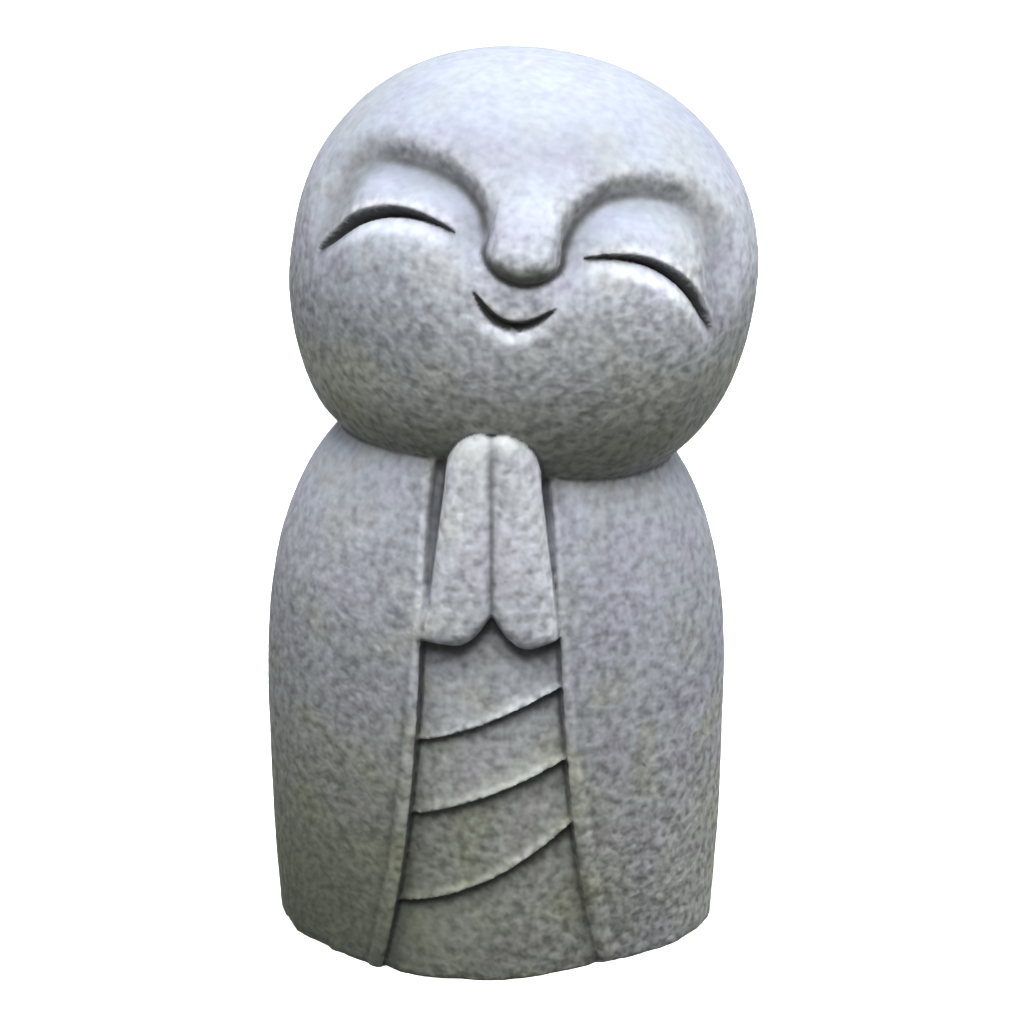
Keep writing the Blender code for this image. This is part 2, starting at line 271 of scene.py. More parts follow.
def carveOpening(obj):
    points = readPoints(obj)
    x, y, z = points.T
    half = openingHalf(z)
    side = x - opening["x"]
    outside = np.abs(side) - half
    u = np.clip(side / half / 2 + 0.5, 0, 1)
    front = robeFront(x, z)
    onFront = (y < -0.004) & (np.abs(y - front) < 0.0012) & (z < opening["cutTo"])

    # both edges are worn round, with a low hem beside them, and a groove runs along the inside of each
    roll = opening["roll"]
    reach = np.clip(1 - outside / roll, 0, 1)
    hemHeight, hemWidth = hemShape(side, z)
    outer, inner = opening["hemEdge"]
    raised = hemHeight * ease(outside, hemWidth + outer, hemWidth + inner)
    share, width = opening["besideHem"]
    sunk = share * hemHeight * hump(outside, hemWidth + width, width)
    isLeft = side < 0
    merged = ease(z, *opening["leftGrooveEnds"]) * ease(z, *opening["heelFrom"]) * isLeft
    rounded = roll * (1 - np.sqrt(1 - reach**2)) * opening["rollDepth"] - raised + sunk
    rounded = rounded * (1 - opening["mergedShare"] * merged)
    groove = np.where(isLeft, *opening["groove"])
    groove = groove * mix(opening["grooveAbove"], 1, ease(z, *opening["grooveFrom"])) * (1 - merged)
    width = np.where(isLeft, *opening["grooveWidth"])
    inside = clothRecess(u, z) + groove * hump(np.minimum(outside, 0), 0, width)
    offset = mix(rounded, inside, ease(outside, *opening["edgeWidth"]))
    offset *= ease(z, opening["cutTo"], opening["cutTo"] - 0.0008)
    outer, inner = opening["fade"]
    points[:, 1] = mix(y, front + offset, onFront * ease(outside, hemWidth + outer, hemWidth + inner))
    writePoints(obj, points)


def wearBase(obj):
    # the skirt is fuller on one side of its middle, and the rim is chipped
    points = readPoints(obj)
    x, y, z = points.T
    isFront = ease(y, -0.01, -0.03) * ease(z, low.z + base["up"], low.z)
    for sign, (depth, middle, width) in ((-1, base["fuller"]), (1, base["flatter"])):
        y = y + sign * depth * hump(x, middle, width) * isFront
    points = np.stack([x, y, z], 1)
    random = np.random.RandomState(base["seed"])
    for _ in range(base["chips"]):
        turn, size, up = random.uniform(0, 2 * pi), random.uniform(*base["chipSize"]), random.uniform(-0.4, 0.5)
        rim = points[np.abs(points[:, 2] - low.z) < 0.001]
        towards = np.array([cos(turn), sin(turn)])
        place = rim[np.argmax(rim[:, :2] @ towards - 8 * np.abs(rim[:, :2] @ (towards[1], -towards[0])))]
        off = (points - place - (0, 0, up * size)) / (size * 2.2, size * 2.2, size)
        dent = np.clip(1 - (off**2).sum(1), 0, 1) ** 0.8 * size * base["chipDepth"]
        points[:, :2] -= dent[:, None] * towards
    writePoints(obj, points)


# hands, palm to palm

hands = {
    "x": -0.0014,
    "back": 0.0400,
    "front": (0.0622, 0.0622),  # at the heel and at the tips
    "belly": 0.0014,
    "lowest": (0.1186, 0.1176),  # left and right heel
    "palmRise": (0.0108, 0.0118),
    "cornerRise": (0.0000, 0.0024),
    "heelAt": 0.0118,
    "heelWidth": (0.0250, 0.0217),
    "sideWidth": (0.0219, 0.0215),
    "flare": 0.27,  # share of the height over which the heel spreads out
    "tipWidth": (0.0147, 0.0156),
    "tips": (0.1700, 0.1898),
    "tipDrop": 0.0016,  # each tip is round on its own
    "tipRound": 0.0060,
    "edge": 0.0042,  # rounding of the outer edges
    "corners": 24,  # along each stretch of the outline
    "softenSteps": 6,
    "groove": (0.0018, 0.0024),  # soft hollow between the palms: depth and width
    "seam": (0.0005, 0.0010),
}


def heelHeight(x):
    # the hands' lower outline
    away = np.abs(x - hands["x"])
    names = "lowest", "palmRise", "cornerRise", "heelWidth"
    lowest, palmRise, cornerRise, wide = (np.where(x < hands["x"], *hands[name]) for name in names)
    inner = palmRise * np.clip(1 - away / hands["heelAt"], 0, 1) ** 1.9
    outer = cornerRise * np.clip((away - hands["heelAt"]) / (wide - hands["heelAt"]), 0, 1) ** 1.6
    return lowest + inner + outer


def handOutline(side, count):
    # distance from the palms and height, once round from the heel
    which = 0 if side < 0 else 1
    lowest, palmRise, cornerRise = hands["lowest"][which], hands["palmRise"][which], hands["cornerRise"][which]
    wide, beside, narrow = hands["heelWidth"][which], hands["sideWidth"][which], hands["tipWidth"][which]
    tipStart, tip = hands["tips"]
    points = []
    for i in range(count):
        away = wide * i / count
        points.append((away, float(heelHeight(hands["x"] + side * (away + 1e-6)))))
    for i in range(count):
        spread = (wide - beside) * max(0, 1 - i / count / hands["flare"]) ** 0.8
        points.append((mix(beside, narrow, i / count) + spread, mix(lowest + cornerRise, tipStart, i / count)))
    for i in range(count):
        turn = pi / 2 * i / count
        away, height = narrow * cos(turn) ** 0.85, tipStart + (tip - tipStart) * sin(turn) ** 0.85
        points.append((away, height - hands["tipDrop"] * max(0, 1 - away / hands["tipRound"]) ** 2))
    for i in range(count):
        points.append((-0.0004, mix(tip - hands["tipDrop"], lowest + palmRise, i / count)))
    return points


def makeHand(side):
    outline = handOutline(side, hands["corners"])
    bpy.ops.mesh.primitive_circle_add(vertices=len(outline), radius=1, fill_type="NGON", location=(0, 0, 0))
    obj = bpy.context.object
    obj.name = "handLeft" if side < 0 else "handRight"
    depth = hands["front"][0]
    writePoints(obj, np.array([(hands["x"] + side * away, -depth, z) for away, z in outline]))
    bpy.ops.object.mode_set(mode="EDIT")
    bpy.ops.mesh.select_all(action="SELECT")
    bpy.ops.mesh.extrude_region_move(TRANSFORM_OT_translate={"value": (0, depth - hands["back"], 0)})
    bpy.ops.mesh.select_all(action="SELECT")
    bpy.ops.mesh.normals_make_consistent(inside=False)
    bpy.ops.mesh.select_all(action="DESELECT")
    bpy.ops.object.mode_set(mode="OBJECT")

    # round the front edges, except where the palms meet
    for edge in obj.data.edges:
        a, b = (obj.data.vertices[i].co for i in edge.vertices)
        isFront = max(a.y, b.y) < -depth + 0.0001
        edge.select = isFront and (abs(a.x - hands["x"]) > 0.0005 or abs(b.x - hands["x"]) > 0.0005)
    bpy.ops.object.mode_set(mode="EDIT")
    bpy.ops.mesh.select_mode(type="EDGE")
    bpy.ops.mesh.bevel(offset=hands["edge"], segments=6, affect="EDGES", clamp_overlap=False)
    bpy.ops.object.mode_set(mode="OBJECT")
    remesh(obj)
    applyModifier(obj, "SMOOTH", factor=0.5, iterations=hands["softenSteps"])

    # full in the middle, and following the robe's curve sideways
    points = readPoints(obj)
    x, y, z = points.T
    share = np.clip((z - hands["lowest"][0]) / (hands["tips"][1] - hands["lowest"][0]), 0, 1)
    isFront = ease(y, -0.045, -0.055)
    lean = mix(*hands["front"], share) - depth + hands["belly"] * np.sin(pi * share)
    fall = robeFront(x, z, 0) - robeFront(np.full_like(x, hands["x"]), z, 0)
    points[:, 1] = y - lean * isFront + fall
    writePoints(obj, points)
    return obj


# head

head = {
    "centre": (0.0092, 0.0, 0.2287),
    "halfWidth": 0.0755,
    "halfDepth": 0.0668,
    "rise": 0.0698,
    "crownPower": 2.13,
    "drop": 0.0715,
    "jowlPower": 2.4,
    "leftJowl": (0.0022, -80, 32, -0.056, 0.012),  # fuller by, around this angle and height
    "roll": radians(10.5),
    "turn": radians(-4.5),
}

# places on the face: angle from its middle in degrees, height from the head's centre in metres
face = {
    "middle": 0.6,
    "perDegree": 0.00124,  # metres of surface for one degree, where the head is widest
    "ends": (84, 76),
    # the arch over each eye: a wall down from the forehead, then the rounded lid
    "brow": {"angle": 35, "z": 0.020, "reach": 26.5, "rise": (0.0194, 0.0240), "below": 0.042, "power": 2.3,
             "depth": 0.0056, "foot": 0.0028, "wall": 0.0036, "lid": 0.0080},
    "nose": {"z": 0.0178, "root": 0.052, "half": 0.0118, "tip": 0.0081, "power": 1.8, "proud": 0.0064,
             "crease": 0.0009, "creaseWidth": 0.0015},
    "eye": {"angle": (27.6, 26), "z": 0.0220, "ends": (15.5, 56), "reach": 28.6, "drop": 0.0194, "power": 2.15,
            "depth": 0.0044, "half": (0.00138, 0.00116), "fullest": (0.58, 0.68), "ledge": 0.0011,
            "ledgeWidth": 0.0050, "shoulder": 0.0034, "shoulderWidth": 0.0062},
    "mouth": {"z": -0.0041, "rise": 0.0082, "reach": 9.8, "depth": 0.0036, "half": (0.0018, 0.0018),
              "fullest": (0.45, 0.45), "ledge": 0.0007, "ledgeWidth": 0.0018, "shoulder": 0.0018,
              "shoulderWidth": 0.0040},
}


def headGirth(z):
    upper = np.clip(1 - (np.maximum(z, 0) / head["rise"]) ** head["crownPower"], 0, 1)
    lower = np.clip(1 - (np.maximum(-z, 0) / head["drop"]) ** head["jowlPower"], 0, 1)
    return np.where(z > 0, upper ** (1 / head["crownPower"]), lower ** (1 / head["jowlPower"]))


def facePlace(x, y, z):
    angle = np.degrees(np.arctan2(x / head["halfWidth"], -y / head["halfDepth"]))
    return angle, face["perDegree"] * np.maximum(headGirth(z), 0.3)


def browRelief(angle, z):
    brow = face["brow"]
    across = np.abs(angle) - brow["angle"]
    side, up = across * face["perDegree"], z - brow["z"]
    rise, power = np.where(angle < 0, *brow["rise"]), brow["power"]
    reach = (np.abs(across / brow["reach"]) ** power + np.abs(up / rise) ** power) ** (1 / power)
    size = np.hypot(side, up)
    inside = size / np.maximum(reach, 0.01) - size
    # beside the nose the wall runs straight down, at the temple it curves in
    wide = brow["reach"] * face["perDegree"]
    temple = wide * np.sqrt(np.clip(1 - (up / brow["below"]) ** 2, 0, 1)) - side
    inside = np.where(up < 0, np.where(side < 0, side + wide, temple), inside)
    off = inside - brow["foot"]
    # broader and shallower at the temples, and softer on the left of the nose
    outermost = ease(across, 6, 24)
    broad = 1 + 0.7 * outermost + 0.35 * ease(up, 0.010, -0.006) * ease(across, -6, -16) * (angle < 0)
    valley = np.exp(-((off / np.where(off < 0, brow["wall"], brow["lid"]) / broad) ** 2))
    # it fades out downwards, beside the nose and at the temple
    rightInner = mix(0.2, 1, ease(up, -0.012, 0.006)) * ease(up, -0.017, -0.010)
    inner = np.where(angle < 0, ease(up, -0.011, 0.007), rightInner)
    outer = ease(up, -0.024, 0.004) * mix(1, 0.75, outermost)
    # the second value is the share of painted shade in the valley
    depth, dirtAndShade = np.where(side < 0, inner, outer), np.where(side < 0, inner, outer**0.3)
    return -brow["depth"] * valley * depth, valley * dirtAndShade


def noseShape(angle, z):
    nose = face["nose"]
    x = head["halfWidth"] * np.sin(np.radians(angle - face["middle"]))
    power = nose["power"]
    below = np.abs(np.minimum(z - nose["z"], 0) / nose["tip"])
    return x, (np.abs(x / nose["half"]) ** power + below**power) ** (1 / power)


def noseRelief(angle, z):
    nose = face["nose"]
    x, reach = noseShape(angle, z)
    rise = ease(z, nose["root"], nose["z"])
    bridge = rise * np.clip(1 - (x / nose["half"]) ** 2, 0, 1) ** mix(1.1, 0.5, rise)
    tip = np.clip(1 - reach**2, 0, 1) ** 0.5
    return nose["proud"] * np.where(z < nose["z"], tip, bridge)


def cutShape(angle, off, share, line):
    # a cut with crisp edges, thinner towards its ends, over a rounded lower shoulder; off is the height over
    # it; it also gives the share of painted shade inside the cut and of painted highlight on the crest below it
    share = np.clip(share, 0, 1)
    fullest = np.where(angle < 0, *line["fullest"])
    wide = np.where(share < fullest, share / fullest, (1 - share) / (1 - fullest))
    wide = np.sin(pi / 2 * wide) ** 0.55
    half = np.where(angle < 0, *line["half"]) * np.maximum(wide, 0.05)
    cut = np.clip(1 - np.abs(off / half) ** 3, 0, 1) * wide
    below = np.clip(1 + (off + 0.7 * half) / line["shoulderWidth"], 0, 1) ** 1.5 * (off < 0)
    above = np.exp(-np.abs(off) / line["ledgeWidth"]) * (off > 0)
    relief = -line["depth"] * cut + (line["ledge"] * above - line["shoulder"] * below) * wide**0.7
    inside = ease(np.abs(off), half * 1.35, half * 0.8) * ease(wide, 0.06, 0.25)
    shoulder = line["shoulderWidth"]
    crest = hump(off, -half - 0.5 * shoulder, 0.45 * shoulder) * (wide > 0.15) * wide
    return relief, inside, crest


def eyeShape(angle, z, metric):
    eye = face["eye"]
    shift = np.where(angle < 0, *eye["angle"]) - eye["angle"][1]
    away = np.abs(angle) - shift
    bend = np.abs((away - eye["angle"][1]) / eye["reach"])
    line = eye["z"] - eye["drop"] * bend ** eye["power"]
    slope = eye["drop"] * eye["power"] * bend ** (eye["power"] - 1) / eye["reach"] / metric
    off = (z - line) / np.sqrt(1 + slope**2)
    return cutShape(angle, off, (away - eye["ends"][0]) / (eye["ends"][1] - eye["ends"][0]), eye)


def mouthShape(angle, z, metric):
    mouth = face["mouth"]
    bend = (angle - face["middle"]) / mouth["reach"]
    line = mouth["z"] + mouth["rise"] * bend**2
    slope = 2 * mouth["rise"] * bend / mouth["reach"] / metric
    off = (z - line) / np.sqrt(1 + slope**2)
    return cutShape(angle, off, bend / 2 + 0.5, mouth)


def headPlace():
    turned = Matrix.Rotation(head["roll"], 4, "Y") @ Matrix.Rotation(head["turn"], 4, "Z")
    return Matrix.Translation(head["centre"]) @ turned


def makeHead():
    bpy.ops.mesh.primitive_uv_sphere_add(segments=128, ring_count=96, radius=1, location=(0, 0, 0))
    obj = bpy.context.object
    obj.name = "head"
    points = readPoints(obj)
    height = np.clip(points[:, 2], -1, 1)
    lon = np.arctan2(points[:, 0], -points[:, 1])
    z = np.where(
        height > 0,
        head["rise"] * np.abs(height) ** (2 / head["crownPower"]),
        -head["drop"] * np.abs(height) ** (2 / head["jowlPower"]),
    )
    girth = headGirth(z)
    x = head["halfWidth"] * girth * np.sin(lon)
    y = -head["halfDepth"] * girth * np.cos(lon)
    writePoints(obj, np.stack([x, y, z], 1))
    remesh(obj)

    # brows, lids and nose stand out along the surface's own direction
    points = readPoints(obj)
    x, y, z = points.T
    angle = facePlace(x, y, z)[0]
    rise = np.where(z > 0, head["rise"], head["drop"])
    normal = np.stack([x / head["halfWidth"] ** 2, y / head["halfDepth"] ** 2, z / rise**2], 1)
    normal /= np.linalg.norm(normal, axis=1, keepdims=True)
    relief = (browRelief(angle, z)[0] + noseRelief(angle, z)) * ease(np.abs(angle), *face["ends"])
    depth, middle, width, height, tall = head["leftJowl"]
    relief = relief + depth * hump(angle, middle, width) * hump(z, height, tall)
    writePoints(obj, points + normal * relief[:, None])
    obj.data.transform(headPlace())
    return obj


def carveFace(points):
    # eyes, mouth and the crease under the nose, cut crisply into the block
    place = np.array(headPlace())
    local = (points - place[:3, 3]) @ place[:3, :3]
    x, y, z = local.T
    isFace = (y < -0.02) & (z > -0.03) & (z < 0.050)
    angle, metric = facePlace(x, y, z)
    eyeDepth, inEye, underEye = eyeShape(angle, z, metric)
    mouthDepth, inMouth, underMouth = mouthShape(angle, z, metric)
    nose = face["nose"]
    reach = noseShape(angle, z)[1]
    isTip = ease(z, nose["z"] + 0.003, nose["z"] - 0.003)
    crease = hump((reach - 1) * nose["tip"], nose["creaseWidth"] * 0.5, nose["creaseWidth"]) * isTip
    normal = np.stack([x / head["halfWidth"] ** 2, y / head["halfDepth"] ** 2, z / head["rise"] ** 2], 1)
    normal /= np.linalg.norm(normal, axis=1, keepdims=True)
    relief = eyeDepth + mouthDepth - nose["crease"] * crease
    local = local + normal * (relief * isFace)[:, None]

    # painted shade in the cuts, in the brow valleys, in the crease and on the underside of the nose; painted
    # highlight on the crests below the eyes and mouth
    inBrow = browRelief(angle, z)[1] ** 0.8
    dirtAndShade = np.maximum(weatherAndPaintedLight["cut"] * np.maximum(inEye, inMouth), weatherAndPaintedLight["brow"] * inBrow)
    underNose = ease(reach, 0.28, 0.85) * ease(reach, 1.25, 1.0)
    underNose = underNose * ease(z, nose["z"] + 0.0005, nose["z"] - 0.0045)
    dirtAndShade = np.maximum(dirtAndShade, np.maximum(weatherAndPaintedLight["noseCrease"] * crease, weatherAndPaintedLight["nose"] * underNose))
    worn = weatherAndPaintedLight["crest"] * np.maximum(underEye, underMouth)
    return local @ place[:3, :3].T + place[:3, 3], dirtAndShade * isFace, worn * isFace


# one block

# worn round where the head sits on the shoulders
neck = {
    "height": 0.172,
    "reach": (0.020, 0.012),
    "handsFront": (-0.036, -0.042),  # the hands are left out, this far forward and across
    "handsAcross": (0.026, 0.021),
    "hollowSteps": 30,
    "hollow": (0.0002, 0.0010),
    "growSteps": 8,
    "softenSteps": 12,
}

# the left hand's heel runs into the robe's edge
heelJoin = {
    "width": 0.0042,
    "low": (0.1180, 0.1200),
    "high": (0.1335, 0.1300),
    "front": -0.040,
    "softenSteps": 110,
}


def wearNeck(obj, points, web):
    x, y, z = points.T
    isNeck = ease(np.abs(z - neck["height"]), *neck["reach"])
    isNeck *= 1 - ease(y, *neck["handsFront"]) * ease(np.abs(x - hands["x"]), *neck["handsAcross"])
    hollow = hollowness(obj, points, web, (neck["hollowSteps"],))[0]
    share = ease(blur(hollow * isNeck, web, 1), *neck["hollow"])
    for _ in range(neck["growSteps"]):
        share = np.maximum(share, blur(share, web, 1))
    return soften(points, web, neck["softenSteps"], share[:, None])


def joinHeel(points, web):
    x, y, z = points.T
    joined = hump(x, opening["x"] - openingHalf(z), heelJoin["width"]) * (y < heelJoin["front"])
    joined = joined * ease(z, *heelJoin["low"]) * ease(z, *heelJoin["high"])
    return soften(points, web, heelJoin["softenSteps"], joined[:, None])


def flattenBase(points):
    points[:, 2] = np.where(points[:, 2] < low.z + carving["flat"], low.z, points[:, 2])
    return points


def makeStatue():
    parts = [makeRobe(), makeHand(-1), makeHand(1), makeHead()]
    print("parts shaped")
    pick(parts[0])
    for part in parts:
        part.select_set(True)
    bpy.ops.object.join()
    obj = bpy.context.object
    obj.name = obj.data.name = "statueStone"
    remesh(obj)
    print("block joined", len(obj.data.vertices))

    web = findEdges(obj)
    points = soften(partPalms(readPoints(obj)), web, carving["softenSteps"])
    points, faceShade, faceHighlight = carveFace(points)
    inCut = ease(neighbourMean(faceShade[:, None], web), *carving["inCut"])
    writePoints(obj, soften(points, web, carving["cutSteps"], inCut))
    points = wearNeck(obj, readPoints(obj), web)
    writePoints(obj, flattenBase(joinHeel(points, web)))
    print("block carved")

    roughen(obj, "swell", carving["swell"], carving["swellSize"])
    keepAttributes(obj, readPoints(obj), web, faceShade, faceHighlight)
    roughen(obj, "grain", carving["grain"], carving["grainSize"])
    writePoints(obj, flattenBase(readPoints(obj)))
    thin(obj)
    pick(obj)
    bpy.ops.object.shade_smooth()
    triangles = sum(len(polygon.vertices) - 2 for polygon in obj.data.polygons)
    print("thinned to", triangles, "triangles")
    return obj


# how deep or proud a place must be to take painted shade with some dirt, or wear with painted highlights
weatherAndPaintedLight = {
    "steps": (6, 24, 90),  # over how many points: fine, middle, wide
    # hollows at each scale take painted shade with some dirt; proud places take wear
    "dirtAndShade": ((0.00008, 0.00045), (0.00025, 0.00120), (0.0008, 0.0032)),
    "dirtShare": (0.75, 0.80, 0.40),
    "worn": ((-0.00006, -0.00030), (-0.00016, -0.00080)),
    "wornShare": (0.45, 0.60),
    # painted shade in the face's cuts, the brow valleys, under the nose and in its crease; painted highlight on
    # the crests below the eyes and mouth
    "cut": 0.93,
    "brow": 0.46,
    "nose": 0.78,
    "noseCrease": 0.50,
    "crest": 0.85,
    # painted shade where the head meets the robe: share and hollowness, and from which height up
    "contact": (0.72, 0.00012, 0.0006),
    "contactFrom": (0.150, 0.166),
    "shade": (1.9, 80, 0.36),  # how the painted shadow under the chin fades out: share, steps, most
    "shadeTo": (0.200, 0.190),
    "skySteps": 30,
    # shares and reaches of the painted shade in a corner: its core, its soft edge, and what the edge above it
    # hides
    "sideGroove": ((0.72, 0.0022, 0.30, 0.0058), (0.42, 0.0021, 0.24, 0.0046)),  # left, right
    "lowEdges": 1.7,  # the soft edges are this much darker near the base
    "lowFrom": (0.085, 0.030),
    "handGroove": (0.52, 0.12),  # left, right
    "underLip": ((0.86, 0.0016, 0.20, 0.0042), (0.94, 0.0022, 0.30, 0.0052)),  # at its left and right end
    "lipHides": (0.0010, 0.0016),
    "underHeel": (0.90, 0.0024, 0.18, 0.0060),
    "heelHides": 0.0030,
    "seam": (0.30, 0.65, 0.0013),  # at the tips, at the heels, width
    "hands": 1.0,
    "handsClean": 0.35,
    "hem": ((0.90, 0.80), (0.60, 0.35)),  # left above and at the base, right above and at the base
    "besideHem": (0.30, 0.18),  # left, right
    "cloth": 0.50,
    # painted highlight along the top of each lip
    "lip": (0.45, 1.00, 0.0046, 0.0016),  # left, right, fading from and to this height over it
}


# painted shade in a corner: a dark core past what the edge above hides, and a soft edge
def cornerShade(off, kind, hidden=0.0, more=1.0):
    core, coreReach, edge, edgeReach = kind
    edge = edge * more
    inCore = core * hump(np.maximum(off - hidden, 0), 0, coreReach)
    return np.maximum(inCore, edge * hump(off, 0, edgeReach)) * (off > -0.0003)


def isOnHands(x, y, z):
    which = x < hands["x"]
    beside, narrow, lowest = (np.where(which, *hands[name]) for name in ("sideWidth", "tipWidth", "lowest"))
    tipStart, tip = hands["tips"]
    away = np.abs(x - hands["x"])
    bend = np.clip((z - tipStart) / (tip - tipStart), 0, 1)
    wide = mix(beside, narrow, np.clip((z - lowest) / (tipStart - lowest), 0, 1)) * (1 - bend**2.35) ** 0.425
    notch = hands["tipDrop"] * np.maximum(0, 1 - away / hands["tipRound"]) ** 2
    return (y < robeFront(x, z) - 0.0030) & (away < wide) & (z > heelHeight(x)) & (z < tip - notch)


def markOpening(points):
    # painted shade inside the opening's edges, beside the hems, under each lip, under the hands and along the
    # palms' seam; wear on the hems and hands, and painted highlights on the lips
    x, y, z = points.T
    marks, half, side = weatherAndPaintedLight, openingHalf(z), x - opening["x"]
    front, heel = robeFront(x, z), heelHeight(x)
    outside = np.abs(side) - half
    u = np.clip(side / half / 2 + 0.5, 0, 1)
    onRobe = (y < -0.01) & (y < front + 0.009) & (y > front - 0.0020) & (z < opening["cutTo"])
    inside = outside < 0.0004

    onHands = isOnHands(x, y, z)
    lowShare = ease(z, *marks["lowFrom"])
    more = mix(1, marks["lowEdges"], lowShare)
    edges = [cornerShade(-outside, kind, 0, more) for kind in marks["sideGroove"]]
    belowHands = np.where(side < 0, edges[0], edges[1])
    besideHands = mix(*marks["handGroove"], u) * ease(outside, 0.0004, -0.0010)
    besideHands = besideHands * np.where(side < 0, 1 - ease(z, *opening["leftGrooveEnds"]), 1)
    dirtAndShade = np.where(z < heel + 0.003, belowHands, besideHands)
    lipHighlight = 0 * z
    for left, right, curve in folds:
        below = mix(left, right, u**curve) - z
        kinds = zip(marks["underLip"], marks["lipHides"])
        dirtAndShade = np.maximum(dirtAndShade, mix(*(cornerShade(below, kind, hidden, more) for kind, hidden in kinds), u))
        # painted highlight along the top of each lip
        rubbedAndHighlight = mix(*marks["lip"][:2], u) * ease(-below, *marks["lip"][2:]) * (below < 0)
        lipHighlight = np.maximum(lipHighlight, rubbedAndHighlight)
    dirtAndShade = np.maximum(dirtAndShade, cornerShade(heel - z, marks["underHeel"], marks["heelHides"]))

    hemWidth = hemShape(side, z)[1]
    hem = [mix(above, below, lowShare) for above, below in marks["hem"]]
    worn = np.where(side < 0, *hem) * ease(outside, 0, 0.0008)
    worn = worn * ease(outside, hemWidth + 0.0004, hemWidth - 0.0012)
    cloth = marks["cloth"] * (1 - lowShare) * (z < heel)
    worn = np.where(outside < -0.001, np.maximum(lipHighlight, cloth), worn) * onRobe
    besideHem = np.where(side < 0, *marks["besideHem"]) * hump(outside, hemWidth + 0.0010, 0.0010)
    besideHem = besideHem * ease(z, 0.130, 0.090)
    # painted shade along the seam between the palms
    seam = hump(x, hands["x"], marks["seam"][2]) * mix(*marks["seam"][:2], ease(z, 0.150, 0.128))
    sheltered = onHands | (onRobe & inside & (z > heel))
    dirtAndShade = np.where(inside, dirtAndShade, besideHem) * onRobe
    return np.where(onHands, seam, dirtAndShade), np.where(onHands, marks["hands"], worn), sheltered


def keepAttributes(obj, points, web, faceShade, faceHighlight):
    # painted shade, with some dirt, in the hollows at each scale; wear on proud places
    hollows = hollowness(obj, points, web, weatherAndPaintedLight["steps"])
    clearOfShadeAndDirt = 1 - faceShade
    for off, limits, share in zip(hollows, weatherAndPaintedLight["dirtAndShade"], weatherAndPaintedLight["dirtShare"]):
        clearOfShadeAndDirt = clearOfShadeAndDirt * (1 - share * ease(off, *limits))
    worn = np.zeros(len(points))
    for off, limits, share in zip(hollows, weatherAndPaintedLight["worn"], weatherAndPaintedLight["wornShare"]):
        worn = np.maximum(worn, share * ease(off, *limits))

    dirtAndShade, rubbedAndHighlight, sheltered = markOpening(points)
    height, offHands = points[:, 2], 1 - isOnHands(*points.T)
    # painted shade in the crease where the head meets the robe, and a painted shadow under the chin spread down
    # from it
    share, start, end = weatherAndPaintedLight["contact"]
    contact = share * ease(hollows[1], start, end) * ease(height, *weatherAndPaintedLight["contactFrom"]) * offHands
    share, steps, most = weatherAndPaintedLight["shade"]
    shade = blur(contact * ease(height, *weatherAndPaintedLight["shadeTo"]), web, steps)
    shade = np.minimum(share * shade, most) * offHands
    clearOfShadeAndDirt = np.where(sheltered, clearOfShadeAndDirt ** weatherAndPaintedLight["handsClean"], clearOfShadeAndDirt)
    clearOfShadeAndDirt = clearOfShadeAndDirt * (1 - dirtAndShade) * (1 - np.maximum(contact, shade))
    # wear on edges, hems and hands, with painted highlights on the crests below the eyes and mouth and on the
    # lips
    worn = np.maximum(np.maximum(worn, rubbedAndHighlight), faceHighlight)
    skyward = blur(readNormals(obj)[:, 2], web, weatherAndPaintedLight["skySteps"])
    for name, value in (("grime", 1 - clearOfShadeAndDirt), ("worn", worn), ("skyward", skyward)):
        layer = obj.data.attributes.new(name, "FLOAT", "POINT")
        layer.data.foreach_set("value", value.astype(np.float32))


def partPalms(points):
    x, y, z = points.T
    lowest = hands["lowest"][0] + hands["palmRise"][0]
    top = hands["tips"][1]
    along = ease(z, lowest - 0.006, lowest + 0.004) * (y < robeFront(x, z) + 0.003) * ease(z, top, top - 0.0016)
    for depth, width in (hands["groove"], hands["seam"]):
        y = y + depth * hump(x, hands["x"], width) * along
        along = along * ease(z, top - 0.004, top - 0.016)
    return np.stack([x, y, z], 1)


def roughen(obj, name, strength, size):
    texture = bpy.data.textures.new(name, "CLOUDS")
    texture.noise_scale = size
    texture.noise_depth = 1
    texture.noise_basis = "IMPROVED_PERLIN"
    applyModifier(obj, "DISPLACE", texture=texture, strength=strength, mid_level=0.5, texture_coords="LOCAL")


def frontFaces(obj):
    middles = np.empty(len(obj.data.polygons) * 3)
    obj.data.polygons.foreach_get("center", middles)
    middles = middles.reshape(-1, 3)
    return (middles[:, 1] < carving["frontTo"]) & (middles[:, 2] > low.z + 0.0004)


def thinFaces(obj, chosen, ratio):
    pick(obj)
    bpy.ops.object.mode_set(mode="EDIT")
    bpy.ops.mesh.select_mode(type="FACE")
    bpy.ops.mesh.select_all(action="DESELECT")
    bpy.ops.object.mode_set(mode="OBJECT")
    obj.data.polygons.foreach_set("select", chosen)
    bpy.ops.object.mode_set(mode="EDIT")
    bpy.ops.mesh.decimate(ratio=ratio)
    bpy.ops.object.mode_set(mode="OBJECT")
    print("thinned", len(obj.data.polygons))


def thin(obj):
    # the back keeps fewer triangles than the carved front
    front = frontFaces(obj)
    frontCount, backCount = carving["triangles"]
    frontRatio, backRatio = frontCount / 2 / front.sum(), backCount / 2 / (~front).sum()
    thinFaces(obj, ~front, backRatio)
    thinFaces(obj, frontFaces(obj), frontRatio)


def findEdges(obj):
    edges = np.empty(len(obj.data.edges) * 2, int)
    obj.data.edges.foreach_get("vertices", edges)
    first, second = edges.reshape(-1, 2).T
    size = len(obj.data.vertices)
    return first, second, np.bincount(first, minlength=size) + np.bincount(second, minlength=size)


